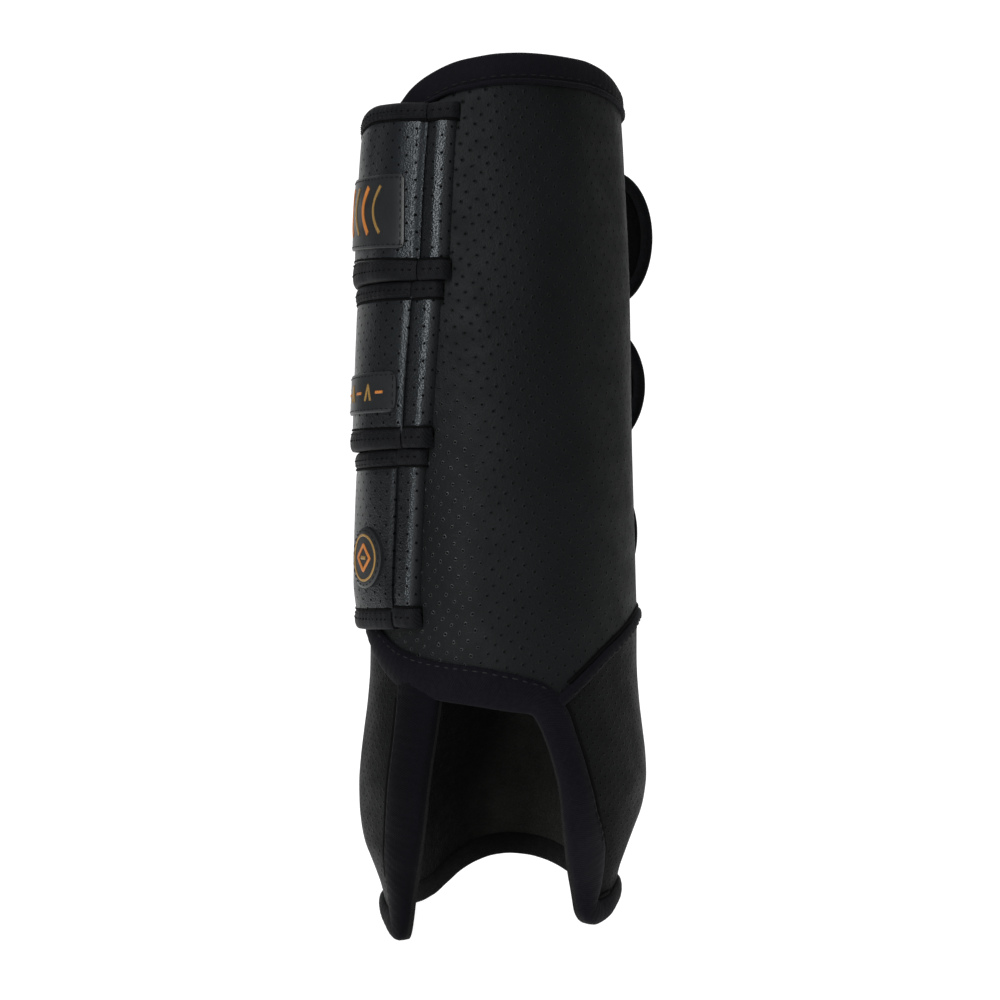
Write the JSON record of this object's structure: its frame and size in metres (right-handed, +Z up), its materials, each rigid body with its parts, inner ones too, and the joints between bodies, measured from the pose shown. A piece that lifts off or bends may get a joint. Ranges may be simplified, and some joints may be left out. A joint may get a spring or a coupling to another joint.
{
  "type": "tendon boot",
  "caption": "Upright padded tendon boot for a horse's lower leg: perforated wrap with bound edges, a fetlock cup open at the front, and wide hook-and-loop straps at the side.",
  "frame": {"origin": "middle of the base box at floor level", "axes": "+Z up the leg, -Y the front of the leg, -X the closing side with the straps, +X the inner side"},
  "size_m": [0.1062, 0.0954, 0.29],
  "materials": {
    "leather": "perforated synthetic leather, matt",
    "binding": "folded woven edge binding",
    "lining": "short pile over foam",
    "loop": "loop fabric for the strap hooks",
    "hook": "hook tape",
    "guard": "flexible moulded sheet",
    "badge": "moulded rubber with gold and orange lines"
  },
  "bodies": {
    "shell": {"outer_shell": "leather", "shell_liner": "lining", "tendon_guard": "guard", "shin_guard": "guard", "right_fetlock_cup": "leather", "right_cup_liner": "lining", "top_binding": "binding", "cutout_binding": "binding", "closure_binding": "binding", "right_prong_binding": "binding", "right_hem_binding": "binding", "right_seam_piping": "binding", "back_loop_panel": "loop", "upper_strap_base": "leather", "middle_strap_base": "leather", "lower_strap_base": "leather"},
    "side_flap": {"flap_shell": "leather", "flap_liner": "lining", "left_fetlock_cup": "leather", "left_cup_liner": "lining", "flap_top_binding": "binding", "flap_edge_binding": "binding", "left_prong_binding": "binding", "left_hem_binding": "binding", "left_seam_piping": "binding", "side_loop_panel": "loop"},
    "upper_strap": {"upper_strap": "leather", "upper_strap_binding": "binding", "upper_badge": "badge"},
    "upper_strap_end": {"upper_strap_end": "leather", "upper_end_binding": "binding", "upper_hook_pad": "hook"},
    "middle_strap": {"middle_strap": "leather", "middle_strap_binding": "binding", "middle_badge": "badge"},
    "middle_strap_end": {"middle_strap_end": "leather", "middle_end_binding": "binding", "middle_hook_pad": "hook"},
    "lower_strap": {"lower_strap": "leather", "lower_strap_binding": "binding", "lower_badge": "badge"},
    "lower_strap_end": {"lower_strap_end": "leather", "lower_end_binding": "binding", "lower_hook_pad": "hook"}
  },
  "joints": [
    {"name": "flap_open", "type": "hinge", "parent": "shell", "child": "side_flap", "pos_m": [-0.00285, 0.04523, 0.18], "axis": [0, 0, -1], "range_deg": [0, 60]},
    {"name": "upper_strap_swing", "type": "hinge", "parent": "shell", "child": "upper_strap", "pos_m": [-0.02798, -0.043, 0.2455], "axis": [0, 0, 1], "range_deg": [0, 108]},
    {"name": "upper_strap_peel", "type": "hinge", "parent": "upper_strap", "child": "upper_strap_end", "pos_m": [-0.05119, 0.00584, 0.2455], "axis": [0, 0, 1], "range_deg": [0, 100]},
    {"name": "middle_strap_swing", "type": "hinge", "parent": "shell", "child": "middle_strap", "pos_m": [-0.03276, -0.03973, 0.1898], "axis": [0, 0, 1], "range_deg": [0, 108]},
    {"name": "middle_strap_peel", "type": "hinge", "parent": "middle_strap", "child": "middle_strap_end", "pos_m": [-0.05119, 0.00584, 0.1898], "axis": [0, 0, 1], "range_deg": [0, 100]},
    {"name": "lower_strap_swing", "type": "hinge", "parent": "shell", "child": "lower_strap", "pos_m": [-0.03712, -0.03592, 0.1336], "axis": [0, 0, 1], "range_deg": [0, 108]},
    {"name": "lower_strap_peel", "type": "hinge", "parent": "lower_strap", "child": "lower_strap_end", "pos_m": [-0.05119, 0.00584, 0.1336], "axis": [0, 0, 1], "range_deg": [0, 100]}
  ],
  "couplings": [
    {"joint": "upper_strap_swing", "follows": "flap_open", "ratio": 1.8},
    {"joint": "middle_strap_swing", "follows": "flap_open", "ratio": 1.8},
    {"joint": "lower_strap_swing", "follows": "flap_open", "ratio": 1.8}
  ]
}
